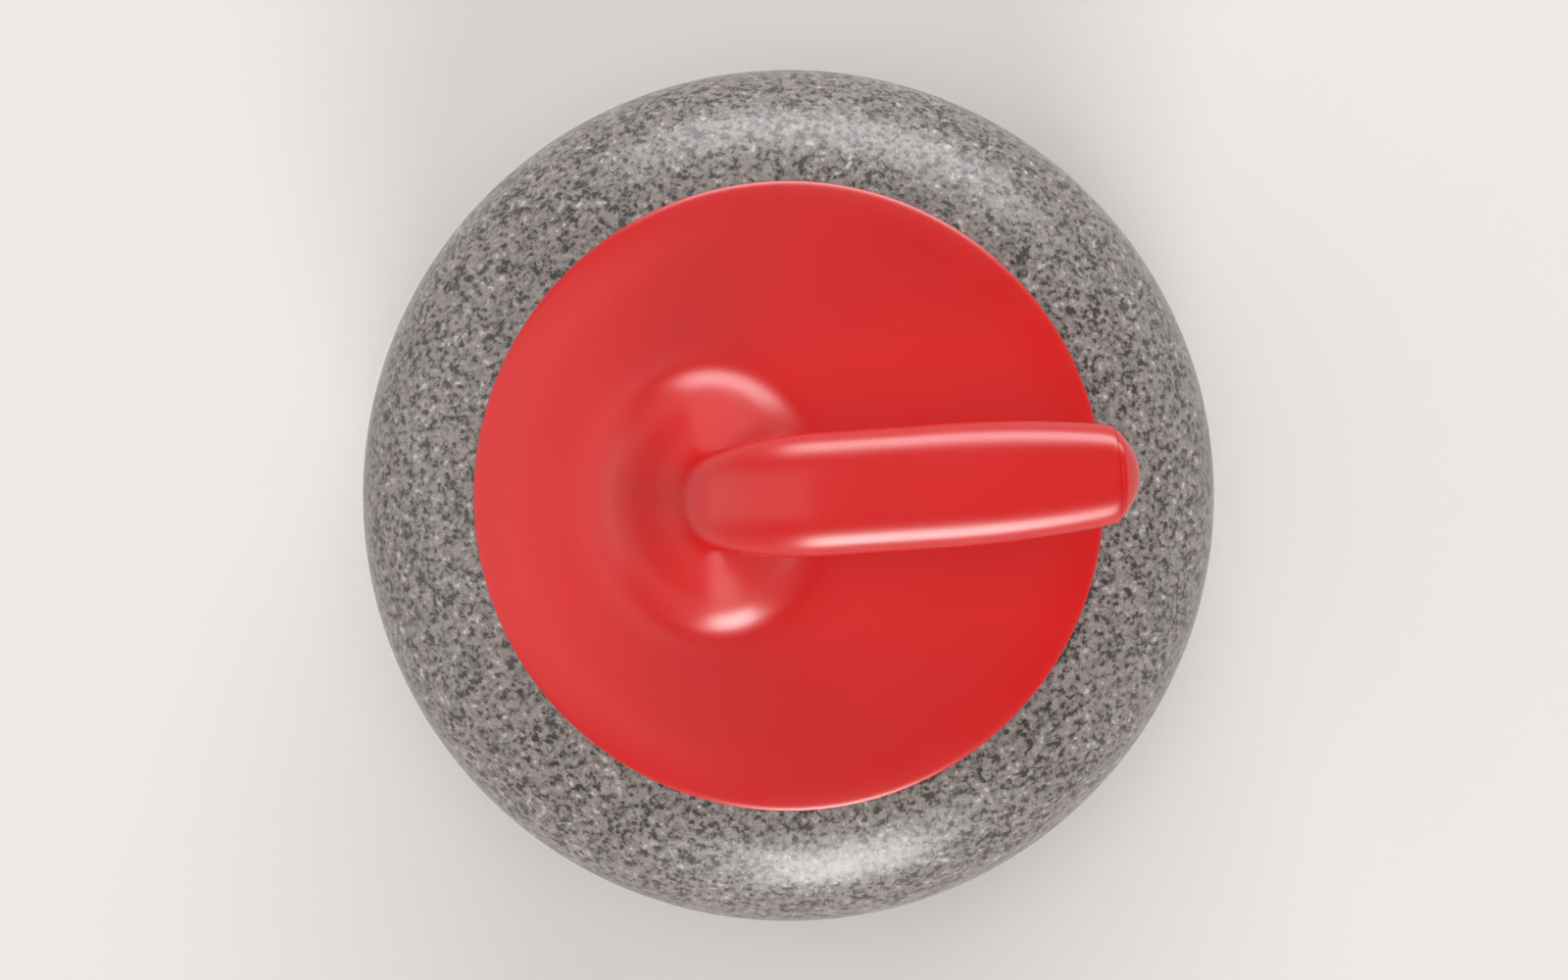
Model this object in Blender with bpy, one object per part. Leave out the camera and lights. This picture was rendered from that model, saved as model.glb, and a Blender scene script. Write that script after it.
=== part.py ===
"""Curling stone: a granite body with two running-band inserts, and a moulded gooseneck handle.

Lengths are in millimetres here and are turned into metres when a mesh is made. Z is the stone's
axis, z = 0 is the ice, and the grip points along +X.
"""

import math

import bmesh
import bpy
import numpy as np
from mathutils import Matrix

MM = 0.001
GAP = 0.3

# Granite
STONE_RADIUS = 145.0
STONE_HEIGHT = 115.0
STONE_CURVE_POWER = 2.5
STRIKING_BAND_HEIGHT = 26.0
STRIKING_BAND_RADIUS = 144.5
BAND_INNER = 60.0
BAND_OUTER = 67.0
CUP_DEPTH = 9.0
RECESS_RADIUS = 77.0
RECESS_DEPTH = 18.3
INSERT_RADIUS = 75.7
INSERT_DEPTH = 18.0
COUNTERBORE_RADIUS = 18.0
COUNTERBORE_DEPTH = 24.0
BOLT_HOLE_RADIUS = 8.0
STONE_SEGMENTS = 60
RING_SEGMENTS = 48

# Through bolt, M10
BOLT_RADIUS = 5.0
BOLT_HEAD_BOTTOM = 9.5
BOLT_HEAD_HEIGHT = 6.4
BOLT_HEAD_FLATS = 17.0
BOLT_TIP = 112.0
LOCK_WASHER = (5.3, 9.0, 2.2)
FLAT_WASHER = (5.3, 12.5, 2.0)
CUSHION_WASHER = (5.4, 16.5, 2.9)

# Handle disc and flare
DISC_RADIUS = 100.2
DISC_CREST = 121.6
DISC_CREASE_RADIUS = 82.0
DISC_CREASE_DROP = 2.0
DISC_SHOULDER_RADIUS = 97.0
DISC_SHOULDER_BEND = 0.0068
DISC_SKIRT_BOTTOM = 113.4
WALL = 3.0
NECK_X = -23.0
NECK_Z = 155.5
NECK_LEAN = math.radians(28.0)
NECK_HALF_THICK = 9.5
NECK_HALF_WIDE = 14.5
FLARE_REACH = 39.0
FLARE_SLOPE = 1.3
FLARE_SLOPE_START = 11.0
FLARE_SLOPE_END = 36.0
FLARE_ROOT_SLOPE = 1.8
FLARE_ROOT_LENGTH = 1.6

# Grip
GRIP_CENTRE_Z = 169.0
GRIP_HALF_THICK = 11.5
GRIP_HALF_WIDE = 18.4
GRIP_SHELL_END = 96.2
GRIP_TIP = 103.2
BEND_END_X = 8.0
BEND_HANDLES = (9.0, 13.0)
GRIP_POWER = 2.3
GRIP_TAPER = 0.0015
GRIP_TAPER_START = 45.0
NOSE_FLAT = 0.25
SHELL_SEGMENTS = 36

# Handle core
PLATE_RADIUS = 46.0
PLATE_BOTTOM = 112.6
PLATE_TOP = 115.1
HUB_RADIUS = 8.0
HUB_BOTTOM = 95.0
HUB_FLANGE = 10.4
HUB_TOP = 117.8
ROD_RADIUS = 5.0
ROD_COLLAR_RADIUS = 6.8
ROD_TIP_X = 82.0
SCREW_CIRCLE = 30.0
SCREW_RADIUS = 2.0
SCREW_TIP = 119.3
BOSS_RADIUS = 4.0

COLOURS = {
    "granite": ((0.27, 0.24, 0.23, 1.0), 0.35, 0.0),
    "hone": ((0.16, 0.17, 0.19, 1.0), 0.3, 0.0),
    "epoxy": ((0.12, 0.11, 0.10, 1.0), 0.5, 0.0),
    "red_plastic": ((0.60, 0.02, 0.02, 1.0), 0.28, 0.0),
    "steel": ((0.45, 0.46, 0.48, 1.0), 0.35, 1.0),
    "zinc": ((0.60, 0.61, 0.62, 1.0), 0.3, 1.0),
    "brass": ((0.66, 0.47, 0.18, 1.0), 0.3, 1.0),
    "rubber": ((0.02, 0.02, 0.02, 1.0), 0.8, 0.0),
    "nylon": ((0.75, 0.73, 0.66, 1.0), 0.5, 0.0),
}


def material(name):
    found = bpy.data.materials.get(name)
    if found:
        return found
    made = bpy.data.materials.new(name)
    made.use_nodes = True
    colour, roughness, metallic = COLOURS[name]
    shader = made.node_tree.nodes["Principled BSDF"]
    shader.inputs["Base Color"].default_value = colour
    shader.inputs["Roughness"].default_value = roughness
    shader.inputs["Metallic"].default_value = metallic
    return made


def add_object(name, points, faces, colour, origin=(0.0, 0.0, 0.0)):
    """One closed mesh object; points are in millimetres, in the world."""
    mesh = bpy.data.meshes.new(name)
    shifted = (np.asarray(points, float) - np.asarray(origin, float)) * MM
    mesh.from_pydata(shifted.tolist(), [], faces)
    work = bmesh.new()
    work.from_mesh(mesh)
    bmesh.ops.remove_doubles(work, verts=work.verts, dist=1e-7)
    bmesh.ops.recalc_face_normals(work, faces=work.faces)
    work.to_mesh(mesh)
    work.free()
    obj = bpy.data.objects.new(name, mesh)
    obj.location = np.asarray(origin, float) * MM
    bpy.context.scene.collection.objects.link(obj)
    mesh.materials.append(material(colour))
    return obj


def smooth(obj, degrees=35.0):
    obj.data.shade_smooth()
    obj.data.set_sharp_from_angle(angle=math.radians(degrees))
    return obj


def lathe(profile, segments, centre=(0.0, 0.0), start=0.0):
    """Points and faces of a closed (r, z) loop turned round a vertical axis at centre."""
    points = []
    for step in range(segments):
        angle = start + 2.0 * math.pi * step / segments
        for r, z in profile:
            points.append((centre[0] + r * math.cos(angle), centre[1] + r * math.sin(angle), z))
    count = len(profile)
    faces = []
    for step in range(segments):
        here = step * count
        there = ((step + 1) % segments) * count
        for k in range(count):
            after = (k + 1) % count
            on_axis = profile[k][0] == 0.0 and profile[after][0] == 0.0
            if not on_axis:
                faces.append((here + k, there + k, there + after, here + after))
    return points, faces


def ring_profile(inner, outer, bottom, top, chamfer=0.0):
    c = chamfer
    if c == 0.0:
        return [(inner, bottom), (outer, bottom), (outer, top), (inner, top)]
    return [
        (inner + c, bottom),
        (outer - c, bottom),
        (outer, bottom + c),
        (outer, top - c),
        (outer - c, top),
        (inner + c, top),
        (inner, top - c),
        (inner, bottom + c),
    ]


def solid_profile(steps):
    """A turned solid from the axis outwards and back, given (r, z) pairs from bottom to top."""
    return [(0.0, steps[0][1]), *steps, (0.0, steps[-1][1])]


def lathe_object(name, profile, colour, segments=32, centre=(0.0, 0.0), start=0.0):
    points, faces = lathe(profile, segments, centre, start)
    return smooth(add_object(name, points, faces, colour, (*centre, 0.0)))


def combine(obj, other, operation):
    modifier = obj.modifiers.new(operation.title(), "BOOLEAN")
    modifier.operation = operation
    modifier.solver = "EXACT"
    modifier.object = other
    other.hide_render = True
    other.display_type = "WIRE"


# Granite -------------------------------------------------------------------------------------


def stone_curve(r):
    """Height of the stone's lower outer surface at radius r, from the running band outwards."""
    u = min(1.0, (r - BAND_OUTER) / (STONE_RADIUS - BAND_OUTER))
    half = STONE_HEIGHT / 2
    return half - half * (1.0 - u**STONE_CURVE_POWER) ** (1.0 / STONE_CURVE_POWER)


def stone_outline(start_radius):
    """(r, z) up the outer wall, from the lower curve to the upper one."""
    half = STONE_HEIGHT / 2
    band_low = half - STRIKING_BAND_HEIGHT / 2
    low = [(start_radius, stone_curve(start_radius))]
    span = STONE_RADIUS - BAND_OUTER
    for degrees in np.linspace(18.0, 76.0, 10):
        angle = math.radians(degrees)
        power = 2.0 / STONE_CURVE_POWER
        r = BAND_OUTER + span * math.sin(angle) ** power
        z = half - half * math.cos(angle) ** power
        if r > start_radius + 1.5 and z < band_low - 1.0:
            low.append((r, z))
    low.append((STRIKING_BAND_RADIUS - 0.6, band_low))
    low.append((STRIKING_BAND_RADIUS, band_low + 1.4))
    low.append((STONE_RADIUS, half))
    high = [(r, STONE_HEIGHT - z) for r, z in reversed(low[:-1])]
    return low + high


def cup_height(r):
    return CUP_DEPTH * (1.0 - (r / BAND_INNER) ** 2)


def build_stone():
    top = STONE_HEIGHT
    profile = [
        (BOLT_HOLE_RADIUS, COUNTERBORE_DEPTH),
        (COUNTERBORE_RADIUS, COUNTERBORE_DEPTH),
        (COUNTERBORE_RADIUS, RECESS_DEPTH),
        (RECESS_RADIUS, RECESS_DEPTH),
        *stone_outline(RECESS_RADIUS),
        (RECESS_RADIUS, top - RECESS_DEPTH),
        (COUNTERBORE_RADIUS, top - RECESS_DEPTH),
        (COUNTERBORE_RADIUS, top - COUNTERBORE_DEPTH),
        (BOLT_HOLE_RADIUS, top - COUNTERBORE_DEPTH),
    ]
    lathe_object("stone_body", profile, "granite", STONE_SEGMENTS)


def insert_profile():
    cup = [(r, cup_height(r)) for r in np.linspace(COUNTERBORE_RADIUS + GAP, BAND_INNER - 1.5, 6)]
    return [
        *cup,
        (BAND_INNER, 0.0),
        (BAND_OUTER, 0.0),
        (INSERT_RADIUS, stone_curve(INSERT_RADIUS)),
        (INSERT_RADIUS, INSERT_DEPTH),
        (COUNTERBORE_RADIUS + GAP, INSERT_DEPTH),
    ]


def bond_profile():
    inner = INSERT_RADIUS + GAP
    outer = RECESS_RADIUS - GAP
    return ring_profile(inner, outer, stone_curve(outer) + 0.1, INSERT_DEPTH)


def upside_down(profile):
    return [(r, STONE_HEIGHT - z) for r, z in reversed(profile)]


def build_inserts():
    for side, turn in (("lower", list), ("upper", upside_down)):
        lathe_object(side + "_running_insert", turn(insert_profile()), "hone", RING_SEGMENTS)
        lathe_object(side + "_bond_ring", turn(bond_profile()), "epoxy", RING_SEGMENTS)


# Bolt ----------------------------------------------------------------------------------------


def hex_prism(name, flats, bottom, top, colour, centre=(0.0, 0.0), chamfer=0.8):
    """A hexagon with its corners turned down at both ends."""
    corner = flats / math.sqrt(3.0)
    steps = [
        (corner - chamfer, bottom),
        (corner, bottom + chamfer / 2),
        (corner, top - chamfer / 2),
        (corner - chamfer, top),
    ]
    points, faces = lathe(solid_profile(steps), 6, centre)
    return add_object(name, points, faces, colour, (*centre, 0.0))


def build_bolt():
    head_top = BOLT_HEAD_BOTTOM + BOLT_HEAD_HEIGHT
    head = hex_prism("through_bolt", BOLT_HEAD_FLATS, BOLT_HEAD_BOTTOM, head_top, "zinc")
    shank_steps = [
        (BOLT_RADIUS, head_top - 1.0),
        (BOLT_RADIUS, BOLT_TIP - 1.2),
        (BOLT_RADIUS - 1.2, BOLT_TIP),
    ]
    shank = lathe_object("bolt_shank_helper", solid_profile(shank_steps), "zinc", 28)
    combine(head, shank, "UNION")
    smooth(head)
    level = head_top + GAP
    level = build_lock_washer(level)
    level = build_washer("bolt_flat_washer", FLAT_WASHER, level, "zinc")
    build_washer("bolt_cushion_washer", CUSHION_WASHER, level, "nylon")


def build_washer(name, sizes, level, colour):
    inner, outer, thick = sizes
    lathe_object(name, ring_profile(inner, outer, level, level + thick, 0.25), colour, 28)
    return level + thick + GAP


def build_lock_washer(level):
    """A split spring ring: its two cut ends stand 9 degrees apart and slightly offset in height."""
    inner, outer, thick = LOCK_WASHER
    section = [(inner, 0.0), (outer, 0.0), (outer, 1.0), (inner, 1.0)]
    turns = np.linspace(4.5, 355.5, 33)
    points = []
    for degrees in turns:
        angle = math.radians(degrees)
        low = level + 0.3 * degrees / 360.0
        for r, k in section:
            points.append((r * math.cos(angle), r * math.sin(angle), low + k * (thick - 0.3)))
    faces = [(0, 1, 2, 3)]
    for step in range(len(turns) - 1):
        for k in range(4):
            a = step * 4 + k
            b = step * 4 + (k + 1) % 4
            faces.append((a, a + 4, b + 4, b))
    last = (len(turns) - 1) * 4
    faces.append((last, last + 3, last + 2, last + 1))
    smooth(add_object("bolt_lock_washer", points, faces, "steel"))
    return level + thick + GAP


# Handle --------------------------------------------------------------------------------------


def disc_top(r):
    """Height of the disc's top surface at radius r from the stone's axis."""
    if r <= DISC_CREASE_RADIUS:
        return DISC_CREST - DISC_CREASE_DROP * (r / DISC_CREASE_RADIUS) ** 2
    slope = 2.0 * DISC_CREASE_DROP / DISC_CREASE_RADIUS
    past = r - DISC_CREASE_RADIUS
    return DISC_CREST - DISC_CREASE_DROP - slope * past - DISC_SHOULDER_BEND * past**2


def flare_slope(offset):
    span = FLARE_SLOPE_END - FLARE_SLOPE_START
    u = min(1.0, max(0.0, (offset - FLARE_SLOPE_START) / span))
    return FLARE_SLOPE * (1.0 - u * u * (3.0 - 2.0 * u))


def flare_height(offset, angle):
    """Height of the flare above the disc, offset outwards from the neck; steepest at its sides."""
    steps = np.linspace(offset, FLARE_REACH, 60)
    slopes = np.array([flare_slope(s) for s in steps])
    main = float(((slopes[1:] + slopes[:-1]) / 2 * np.diff(steps)).sum())
    fall = math.exp(-offset / FLARE_ROOT_LENGTH) - math.exp(-FLARE_REACH / FLARE_ROOT_LENGTH)
    side = 0.25 + 0.75 * math.cos(angle) ** 2
    return main + FLARE_ROOT_SLOPE * FLARE_ROOT_LENGTH * side * fall


def superellipse(half_n, half_y, power, angle):
    """(towards the normal, across) of one point on a section."""
    c = math.cos(angle)
    s = math.sin(angle)
    size = (abs(c) ** power + abs(s) ** power) ** (-1.0 / power)
    return half_n * s * size, half_y * c * size


def section_angles():
    return [2.0 * math.pi * k / SHELL_SEGMENTS for k in range(SHELL_SEGMENTS)]


def blend(a, b, t):
    t = min(1.0, max(0.0, t))
    return a + (b - a) * t * t * (3.0 - 2.0 * t)


def grip_section(x):
    """(half thickness, half width, power) of the straight grip at x."""
    wide = GRIP_HALF_WIDE - GRIP_TAPER * max(0.0, x - GRIP_TAPER_START) ** 2
    thick = GRIP_HALF_THICK - blend(0.0, 1.2, (x - 50.0) / 50.0)
    return thick, wide, GRIP_POWER


def bend_frame(t):
    """Centre, forward normal and section on the gooseneck; t = 0 at the neck, 1 at the grip."""
    lean = np.array([math.sin(NECK_LEAN), 0.0, math.cos(NECK_LEAN)])
    p0 = np.array([NECK_X, 0.0, NECK_Z])
    p3 = np.array([BEND_END_X, 0.0, GRIP_CENTRE_Z])
    p1 = p0 + lean * BEND_HANDLES[0]
    p2 = p3 - np.array([BEND_HANDLES[1], 0.0, 0.0])
    s = 1.0 - t
    centre = s**3 * p0 + 3 * s * s * t * p1 + 3 * s * t * t * p2 + t**3 * p3
    along = s * s * (p1 - p0) + 2 * s * t * (p2 - p1) + t * t * (p3 - p2)
    along /= np.linalg.norm(along)
    normal = np.array([-along[2], 0.0, along[0]])
    u = (centre[0] - NECK_X) / (BEND_END_X - NECK_X)
    thick = NECK_HALF_THICK + (GRIP_HALF_THICK - NECK_HALF_THICK) * u
    wide = NECK_HALF_WIDE + (GRIP_HALF_WIDE - NECK_HALF_WIDE) * (1.0 - (1.0 - u) ** 2)
    return centre, normal, (thick, wide, 2.0 + (GRIP_POWER - 2.0) * u)


def section_ring(centre, normal, section):
    ring = []
    for angle in section_angles():
        n, y = superellipse(section[0], section[1], section[2], angle)
        ring.append(centre + normal * n + np.array([0.0, y, 0.0]))
    return ring


def flare_point(angle, offset):
    """A point of the flare, offset outwards from the neck's lowest section towards angle."""
    n, y = superellipse(NECK_HALF_THICK, NECK_HALF_WIDE, 2.0, angle)
    along = np.array([-math.sin(angle), math.cos(angle)])
    x, y = np.array([NECK_X - n * math.cos(NECK_LEAN), y]) + along * offset
    neck_rise = NECK_Z + n * math.sin(NECK_LEAN) - DISC_CREST
    share = flare_height(offset, angle) / flare_height(0.0, angle)
    return np.array([x, y, disc_top(math.hypot(x, y)) + neck_rise * share])


def disc_rings():
    """Rings from the flare's foot out to the disc's shoulder, turning into circles on the axis."""
    rings = []
    for t in (0.2, 0.42, 0.64, 0.82, 0.93, 1.0):
        ring = []
        for angle in section_angles():
            foot = flare_point(angle, FLARE_REACH)
            rim = np.array([-math.sin(angle), math.cos(angle)]) * DISC_SHOULDER_RADIUS
            x, y = foot[:2] * (1.0 - t) + rim * t
            ring.append(np.array([x, y, disc_top(math.hypot(x, y))]))
        rings.append(ring)
    return rings


def outer_rings():
    up = np.array([0.0, 0.0, 1.0])
    rings = []
    for x in (GRIP_SHELL_END, 91.0, 84.0, 75.0, 63.0, 48.0, 32.0, 19.0):
        centre = np.array([x, 0.0, GRIP_CENTRE_Z])
        rings.append(section_ring(centre, up, grip_section(x)))
    for t in (1.0, 0.86, 0.72, 0.58, 0.44, 0.3, 0.15):
        rings.append(section_ring(*bend_frame(t)))
    for offset in (0.0, 1.5, 3.5, 7.0, 11.0, 15.0, 19.0, 23.0, 27.0, 31.0, 35.0, FLARE_REACH):
        rings.append([flare_point(angle, offset) for angle in section_angles()])
    return rings + disc_rings()


def grid_normals(rings):
    """Unit normals of a grid of rings, pointing away from the inside of the tube."""
    grid = np.array(rings)
    around = np.roll(grid, -1, axis=1) - np.roll(grid, 1, axis=1)
    along = np.gradient(grid, axis=0)
    normals = np.cross(along, around)
    return normals / np.linalg.norm(normals, axis=2, keepdims=True)


def circle_ring(r, z):
    return [np.array([-r * math.sin(a), r * math.cos(a), z]) for a in section_angles()]


def skirt_rings():
    """The disc's rounded shoulder and its skirt, down and round to the underside."""
    start_z = disc_top(DISC_SHOULDER_RADIUS)
    reach = DISC_RADIUS - DISC_SHOULDER_RADIUS
    rings = []
    for degrees in (32.0, 52.0, 71.0, 90.0):
        angle = math.radians(degrees)
        drop = reach * (1.0 - math.cos(angle))
        rings.append(circle_ring(DISC_SHOULDER_RADIUS + reach * math.sin(angle), start_z - drop))
    rings.append(circle_ring(DISC_RADIUS, DISC_SKIRT_BOTTOM + 0.6))
    rings.append(circle_ring(DISC_RADIUS - 0.6, DISC_SKIRT_BOTTOM))
    rings.append(circle_ring(DISC_RADIUS - WALL + 0.4, DISC_SKIRT_BOTTOM))
    return rings


def loop_mesh(rings):
    """Points and faces of rings joined one to the next and the last to the first."""
    count = len(rings[0])
    faces = []
    for row in range(len(rings)):
        after = (row + 1) % len(rings)
        for k in range(count):
            turn = (k + 1) % count
            faces.append((row * count + k, row * count + turn, after * count + turn, after * count + k))
    return np.array(rings).reshape(-1, 3), faces


def screw_places():
    for k in range(4):
        angle = math.radians(45.0 + 90.0 * k)
        yield SCREW_CIRCLE * math.cos(angle), SCREW_CIRCLE * math.sin(angle)


def shell_height(x, y):
    """Height of the shell's outer surface over (x, y), where that is disc or flare."""
    away = math.hypot(x - NECK_X, y)
    angle = math.atan2(-(x - NECK_X), y)
    n, across = superellipse(NECK_HALF_THICK, NECK_HALF_WIDE, 2.0, angle)
    offset = max(0.0, away - math.hypot(n * math.cos(NECK_LEAN), across))
    return flare_point(angle, min(offset, FLARE_REACH))[2]


def boss_top(x, y):
    """As high as a boss can go and stay inside the shell's wall all round."""
    turns = np.linspace(0.0, 2.0 * math.pi, 12, endpoint=False)
    rim = [(x + BOSS_RADIUS * math.cos(a), y + BOSS_RADIUS * math.sin(a)) for a in turns]
    return min(shell_height(*place) for place in rim) - 1.3


def build_shell():
    outer = outer_rings()
    normals = grid_normals(outer)
    inner = [list(ring) for ring in np.array(outer) - normals * WALL]
    # The innermost disc ring moves in a little, so that the skirt keeps its thickness.
    inner[-1] = circle_ring(DISC_RADIUS - WALL, disc_top(DISC_SHOULDER_RADIUS) - WALL - 0.6)
    first = [np.array([GRIP_SHELL_END, p[1], p[2]]) for p in inner[0]]
    inner[0] = first
    rings = outer + skirt_rings() + inner[::-2]
    points, faces = loop_mesh(rings)
    shell = add_object("handle_shell", points, faces, "red_plastic")
    for number, (x, y) in enumerate(screw_places(), 1):
        steps = [(BOSS_RADIUS, PLATE_TOP + GAP), (BOSS_RADIUS, boss_top(x, y))]
        name = "boss_helper_" + str(number)
        boss = lathe_object(name, solid_profile(steps), "red_plastic", 16, (x, y), 0.05)
        combine(shell, boss, "UNION")
    for number, (x, y) in enumerate(screw_places(), 1):
        steps = [(SCREW_RADIUS + 0.2, PLATE_TOP - 1.0), (SCREW_RADIUS + 0.2, SCREW_TIP + 0.4)]
        name = "boss_hole_helper_" + str(number)
        hole = lathe_object(name, solid_profile(steps), "red_plastic", 16, (x, y), 0.11)
        combine(shell, hole, "DIFFERENCE")
    smooth(shell, 40.0)


def build_end_plug():
    """The rounded nose that closes the grip, with a stub that pushes into the shell."""
    thick, wide, power = grip_section(GRIP_SHELL_END)
    up = np.array([0.0, 0.0, 1.0])
    start = GRIP_SHELL_END + GAP
    length = GRIP_TIP - start
    rings = []
    for x, cut in ((84.0, 4.6), (85.0, WALL + GAP), (start, WALL + GAP), (start, 0.0)):
        centre = np.array([x, 0.0, GRIP_CENTRE_Z])
        rings.append(section_ring(centre, up, (thick - cut, wide - cut, power)))
    for share in (0.1, 0.22, 0.36, 0.52, 0.7, 0.86, 0.96):
        centre = np.array([start + length * share, 0.0, GRIP_CENTRE_Z])
        lower = math.sqrt(1.0 - max(0.0, share - NOSE_FLAT) / (1.0 - NOSE_FLAT))
        rings.append(section_ring(centre, up, (thick * lower, wide * math.sqrt(1.0 - share), power)))
    count = SHELL_SEGMENTS
    points = list(np.array(rings).reshape(-1, 3))
    faces = []
    for row in range(len(rings) - 1):
        for k in range(count):
            turn = (k + 1) % count
            faces.append((row * count + k, row * count + turn, (row + 1) * count + turn, (row + 1) * count + k))
    faces.append(tuple(range(count)))
    tip = len(points)
    points.append(np.array([GRIP_TIP, 0.0, GRIP_CENTRE_Z]))
    last = (len(rings) - 1) * count
    for k in range(count):
        faces.append((last + k, last + (k + 1) % count, tip))
    smooth(add_object("grip_end_plug", points, faces, "red_plastic"), 40.0)


def rod_rings():
    """Round sections of the core rod, from its threaded foot up the neck and along the grip."""
    back = np.array([-1.0, 0.0, 0.0])
    up = np.array([0.0, 0.0, 1.0])
    collar_top = PLATE_TOP + GAP + 3.0
    stations = []
    for z, r in (
        (108.0, ROD_RADIUS - 0.9),
        (108.7, ROD_RADIUS - 0.2),
        (PLATE_TOP + GAP, ROD_RADIUS - 0.2),
        (PLATE_TOP + GAP, ROD_COLLAR_RADIUS),
        (collar_top, ROD_COLLAR_RADIUS),
        (collar_top + 1.0, ROD_RADIUS),
        (NECK_Z - 12.0, ROD_RADIUS),
    ):
        x = NECK_X - 1.5 * max(0.0, z - collar_top) / (NECK_Z - collar_top)
        stations.append((np.array([x, 0.0, z]), back, r))
    for t in (0.05, 0.2, 0.36, 0.52, 0.68, 0.84, 1.0):
        centre, normal, _ = bend_frame(t)
        stations.append((centre, normal, ROD_RADIUS))
    for x, r in ((ROD_TIP_X - 1.0, ROD_RADIUS), (ROD_TIP_X, ROD_RADIUS - 1.0)):
        stations.append((np.array([x, 0.0, GRIP_CENTRE_Z]), up, r))
    return stations


def build_rod():
    sides = 16
    points = []
    for centre, normal, r in rod_rings():
        for k in range(sides):
            angle = 2.0 * math.pi * k / sides
            across = np.array([0.0, math.cos(angle), 0.0])
            points.append(centre + (across + normal * math.sin(angle)) * r)
    rows = len(points) // sides
    faces = [tuple(range(sides)), tuple(range((rows - 1) * sides, rows * sides))]
    for row in range(rows - 1):
        for k in range(sides):
            turn = (k + 1) % sides
            faces.append((row * sides + k, row * sides + turn, (row + 1) * sides + turn, (row + 1) * sides + k))
    smooth(add_object("core_rod", points, faces, "steel"))
    nut = hex_prism("core_rod_nut", 10.8, 108.4, PLATE_BOTTOM - GAP, "zinc", (NECK_X, 0.0), 0.5)
    hole = round_cutter("core_rod_nut_helper", ROD_RADIUS, 100.0, 120.0, (NECK_X, 0.0))
    combine(nut, hole, "DIFFERENCE")
    smooth(nut)


def round_cutter(name, r, bottom, top, centre=(0.0, 0.0)):
    """A hidden rod; it is turned a little, so that none of its corners meets an edge it cuts."""
    return lathe_object(name, solid_profile([(r, bottom), (r, top)]), "steel", 24, centre, 0.06)


def build_plate():
    profile = ring_profile(HUB_RADIUS + GAP, PLATE_RADIUS, PLATE_BOTTOM, PLATE_TOP, 0.4)
    plate = lathe_object("clamp_plate", profile, "steel", RING_SEGMENTS)
    cutters = [round_cutter("plate_rod_helper", ROD_RADIUS + 0.1, 100.0, 120.0, (NECK_X, 0.0))]
    for number, place in enumerate(screw_places(), 1):
        name = "plate_screw_helper_" + str(number)
        cutters.append(round_cutter(name, SCREW_RADIUS + GAP, 100.0, 120.0, place))
    for cutter in cutters:
        combine(plate, cutter, "DIFFERENCE")


def build_clamp_screws():
    head_top = PLATE_BOTTOM - GAP
    head_bottom = head_top - 2.2
    for number, place in enumerate(screw_places(), 1):
        steps = [
            (2.6, head_bottom),
            (3.6, head_bottom + 0.7),
            (3.7, head_top),
            (SCREW_RADIUS, head_top),
            (SCREW_RADIUS, SCREW_TIP - 1.2),
            (0.8, SCREW_TIP),
        ]
        screw = lathe_object("clamp_screw_" + str(number), solid_profile(steps), "zinc", 20, place)
        for turn in (4.0, 94.0):
            bpy.ops.mesh.primitive_cube_add(size=1.0)
            slot = bpy.context.active_object
            slot.name = f"screw_slot_helper_{number}_{int(turn)}"
            size = Matrix.Diagonal((3.4 * MM, 0.7 * MM, 2.2 * MM, 1.0))
            slot.data.transform(Matrix.Rotation(math.radians(turn), 4, "Z") @ size)
            slot.location = (place[0] * MM, place[1] * MM, head_bottom * MM)
            combine(screw, slot, "DIFFERENCE")


def build_hub():
    profile = [
        (BOLT_RADIUS + 0.2, HUB_BOTTOM + 0.6),
        (BOLT_RADIUS + 0.8, HUB_BOTTOM),
        (HUB_RADIUS - 0.6, HUB_BOTTOM),
        (HUB_RADIUS, HUB_BOTTOM + 0.6),
        (HUB_RADIUS, PLATE_TOP + GAP),
        (HUB_FLANGE, PLATE_TOP + GAP),
        (HUB_FLANGE, HUB_TOP - 0.4),
        (HUB_FLANGE - 0.4, HUB_TOP),
        (BOLT_RADIUS + 0.2, HUB_TOP),
    ]
    lathe_object("threaded_hub", profile, "brass", 28)


def build_gasket():
    low = STONE_HEIGHT + GAP
    profile = ring_profile(BAND_INNER - 2.5, BAND_OUTER + 1.5, low, low + 1.4)
    lathe_object("seat_gasket", profile, "rubber", RING_SEGMENTS)


def main():
    for obj in list(bpy.data.objects):
        bpy.data.objects.remove(obj, do_unlink=True)
    build_stone()
    build_inserts()
    build_bolt()
    build_shell()
    build_end_plug()
    build_rod()
    build_plate()
    build_clamp_screws()
    build_hub()
    build_gasket()


main()
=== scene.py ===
"""Looks of the curling stone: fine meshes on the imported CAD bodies, procedural materials, studio."""

import math

import bpy
import numpy as np
from mathutils import Matrix, Vector


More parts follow.
